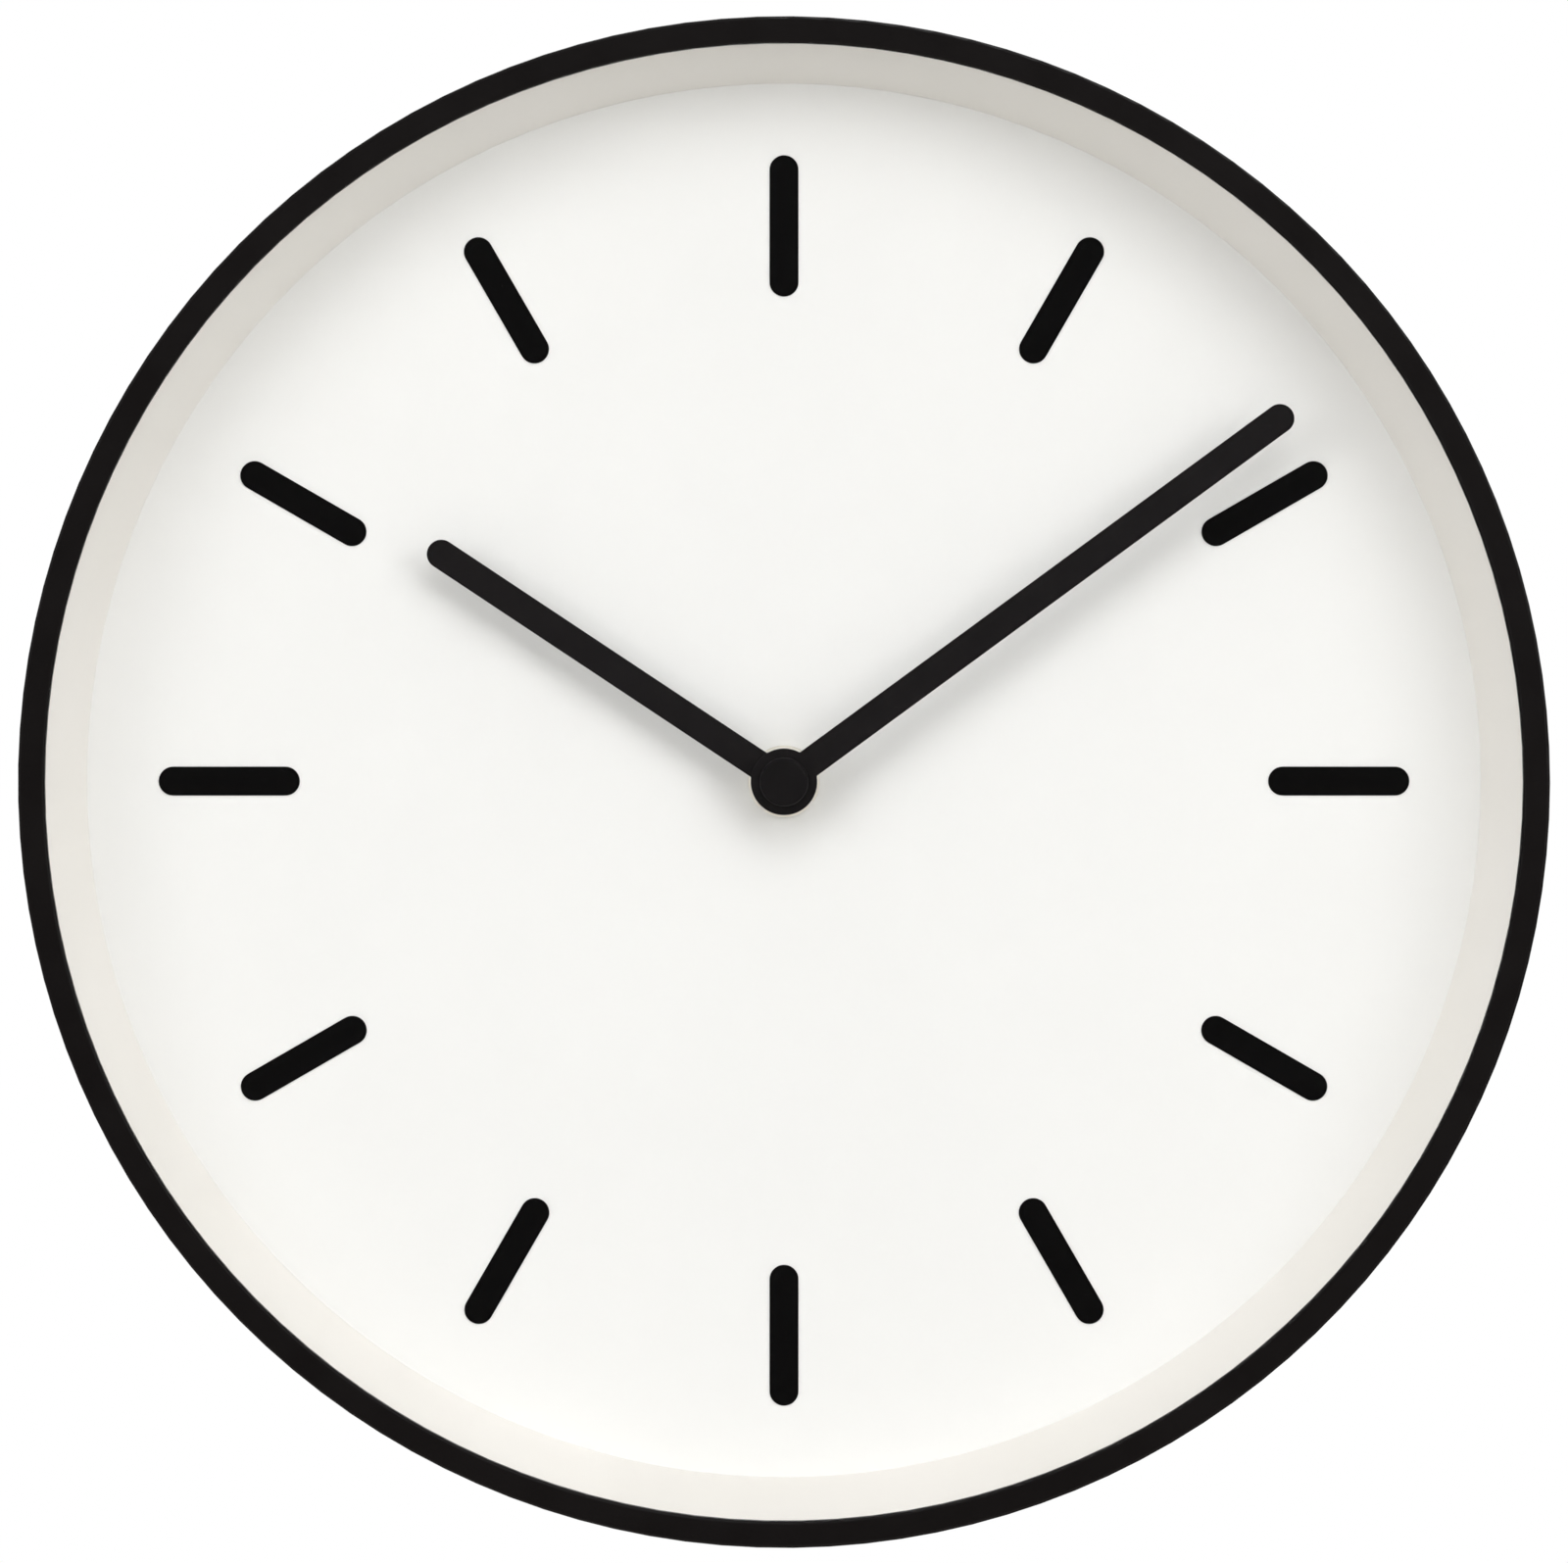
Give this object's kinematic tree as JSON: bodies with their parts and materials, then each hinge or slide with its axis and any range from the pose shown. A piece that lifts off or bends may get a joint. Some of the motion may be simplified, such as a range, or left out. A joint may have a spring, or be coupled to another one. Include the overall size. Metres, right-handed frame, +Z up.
{
  "type": "wall clock",
  "caption": "Round wall clock with a deep case, white dial, bar markers, two bar hands and a battery quartz movement; hangs from a keyhole plate.",
  "frame": {"origin": "where the hands' axis meets the wall, on the plane of the back cover's rim", "axes": "+X to the right seen from the front, +Z up towards 12 o'clock, +Y into the wall; the dial faces -Y"},
  "size_m": [0.254, 0.043, 0.254],
  "materials": {
    "case_black": "moulded ABS, fine matt texture",
    "bezel_black": "satin black paint on moulded ABS",
    "clear_glass": "float glass, polished",
    "black_foam": "closed-cell seal",
    "ring_white": "moulded ABS, warm matt white",
    "dial_white": "matt white paint on aluminium sheet",
    "marker_ink": "screen-printed black ink",
    "washer_rubber": "moulded rubber",
    "nut_nickel": "nickel-plated brass, turned",
    "housing_black": "moulded ABS, fine spark texture",
    "screw_steel": "zinc-plated steel",
    "cover_screw_steel": "black oxide steel",
    "core_iron": "bare soft iron sheet",
    "bobbin_nylon": "moulded nylon",
    "winding_copper": "enamelled copper wire",
    "board_green": "solder mask on fibreboard",
    "chip_epoxy": "black epoxy blob",
    "crystal_can": "nickel-plated can",
    "plate_plastic": "moulded plastic",
    "magnet_dark": "sintered magnet, coated",
    "gear_acetal": "moulded acetal",
    "pipe_brass": "turned brass",
    "knob_acetal": "moulded acetal",
    "hand_black": "matt black paint on aluminium",
    "cell_steel": "nickel-plated steel can",
    "cell_sleeve": "plain shrink sleeve",
    "contact_nickel": "nickel-plated spring steel",
    "cover_black": "moulded ABS, fine spark texture",
    "hanger_zinc": "zinc-plated steel",
    "rivet_aluminium": "bright aluminium"
  },
  "bodies": {
    "clock_body": {"case": "case_black", "bezel": "bezel_black", "glass": "clear_glass", "glass_seal": "black_foam", "dial_ring": "ring_white", "dial": "dial_white", "hour_markers": "marker_ink", "rubber_washer": "washer_rubber", "nut_washer": "nut_nickel", "movement_nut": "nut_nickel", "movement_front_housing": "housing_black", "movement_rear_housing": "housing_black", "housing_screws": "screw_steel", "stator": "core_iron", "coil_core": "core_iron", "coil_bobbin": "bobbin_nylon", "coil_winding": "winding_copper", "stator_screws": "screw_steel", "circuit_board": "board_green", "timing_chip": "chip_epoxy", "quartz_crystal": "crystal_can", "train_plate": "plate_plastic", "train_plate_screws": "screw_steel", "battery_plus_contact": "contact_nickel", "battery_minus_contact": "contact_nickel", "battery_spring": "contact_nickel", "back_cover": "cover_black", "back_cover_screws": "cover_screw_steel", "hanger_plate": "hanger_zinc", "hanger_rivets": "rivet_aluminium"},
    "minute_train": {"minute_hand": "hand_black", "minute_hand_collet": "pipe_brass", "hand_cap": "hand_black", "cannon_pinion": "pipe_brass", "centre_wheel": "gear_acetal"},
    "hour_train": {"hour_hand": "hand_black", "hour_hand_collet": "pipe_brass", "hour_wheel": "gear_acetal"},
    "setting_train": {"minute_wheel": "gear_acetal", "setting_knob": "knob_acetal"},
    "third_train": {"third_wheel": "gear_acetal"},
    "fourth_train": {"fourth_wheel": "gear_acetal"},
    "fifth_train": {"fifth_wheel": "gear_acetal"},
    "rotor": {"rotor_magnet": "magnet_dark", "rotor_pinion": "gear_acetal"},
    "battery": {"battery_can": "cell_steel", "battery_sleeve": "cell_sleeve"}
  },
  "joints": [
    {"name": "minute_turn", "type": "hinge", "parent": "clock_body", "child": "minute_train", "pos_m": [0, -0.02, 0], "axis": [0, 1, 0], "continuous": true},
    {"name": "hour_turn", "type": "hinge", "parent": "clock_body", "child": "hour_train", "pos_m": [0, -0.02, 0], "axis": [0, 1, 0], "continuous": true},
    {"name": "setting_turn", "type": "hinge", "parent": "clock_body", "child": "setting_train", "pos_m": [0.00902, -0.01, -0.00328], "axis": [0, 1, 0], "continuous": true},
    {"name": "third_turn", "type": "hinge", "parent": "clock_body", "child": "third_train", "pos_m": [0.00459, -0.01, 0.00795], "axis": [0, 1, 0], "continuous": true},
    {"name": "fourth_turn", "type": "hinge", "parent": "clock_body", "child": "fourth_train", "pos_m": [0, -0.01, 0], "axis": [0, 1, 0], "continuous": true},
    {"name": "fifth_turn", "type": "hinge", "parent": "clock_body", "child": "fifth_train", "pos_m": [-0.00677, -0.01, 0.00246], "axis": [0, 1, 0], "continuous": true},
    {"name": "rotor_turn", "type": "hinge", "parent": "clock_body", "child": "rotor", "pos_m": [-0.01283, -0.01, 0.00596], "axis": [0, 1, 0], "continuous": true},
    {"name": "battery_release", "type": "slide", "parent": "clock_body", "child": "battery", "axis": [0, 1, 0], "range_m": [0, 0.018]}
  ],
  "couplings": [
    {"joint": "hour_turn", "follows": "minute_turn", "ratio": 0.083333},
    {"joint": "setting_turn", "follows": "minute_turn", "ratio": -0.33333},
    {"joint": "third_turn", "follows": "minute_turn", "ratio": -7.5},
    {"joint": "fourth_turn", "follows": "minute_turn", "ratio": 60},
    {"joint": "fifth_turn", "follows": "minute_turn", "ratio": -300},
    {"joint": "rotor_turn", "follows": "minute_turn", "ratio": 1800}
  ]
}
